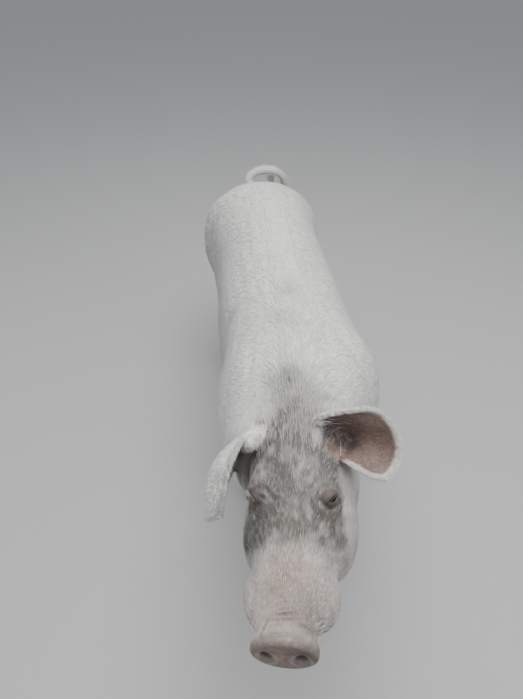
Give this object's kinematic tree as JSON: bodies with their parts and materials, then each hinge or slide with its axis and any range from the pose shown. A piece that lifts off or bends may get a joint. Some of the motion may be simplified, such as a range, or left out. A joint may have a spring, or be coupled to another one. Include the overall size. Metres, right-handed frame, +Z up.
{
  "type": "domestic pig",
  "caption": "Life-size still model of a white sow standing with her head raised, one ear forward and one hanging, tail curled.",
  "frame": {"origin": "middle of the model's box on the floor, between the feet", "axes": "+Z up, the pig faces -Y with +X on its own left, +Y towards the tail"},
  "size_m": [0.4446, 1.7076, 0.8727],
  "materials": {
    "skin": "pinkish white skin under short white bristles",
    "ears": "thin skin, bristled outside and pink inside",
    "snout": "bare damp skin",
    "eyes": "wet and glossy",
    "horn": "worn horn"
  },
  "bodies": {
    "root": {"torso": "skin", "neck": "skin", "head": "skin", "snout_disc": "snout", "ear_left": "ears", "ear_right": "ears", "eye_left": "eyes", "eye_right": "eyes", "tail": "skin", "foreleg_left": "skin", "foreleg_right": "skin", "hindleg_left": "skin", "hindleg_right": "skin", "foreleg_left_inner_claw": "horn", "foreleg_left_inner_dewclaw": "horn", "foreleg_left_outer_claw": "horn", "foreleg_left_outer_dewclaw": "horn", "foreleg_right_inner_claw": "horn", "foreleg_right_inner_dewclaw": "horn", "foreleg_right_outer_claw": "horn", "foreleg_right_outer_dewclaw": "horn", "hindleg_left_inner_claw": "horn", "hindleg_left_inner_dewclaw": "horn", "hindleg_left_outer_claw": "horn", "hindleg_left_outer_dewclaw": "horn", "hindleg_right_inner_claw": "horn", "hindleg_right_inner_dewclaw": "horn", "hindleg_right_outer_claw": "horn", "hindleg_right_outer_dewclaw": "horn"}
  },
  "joints": []
}
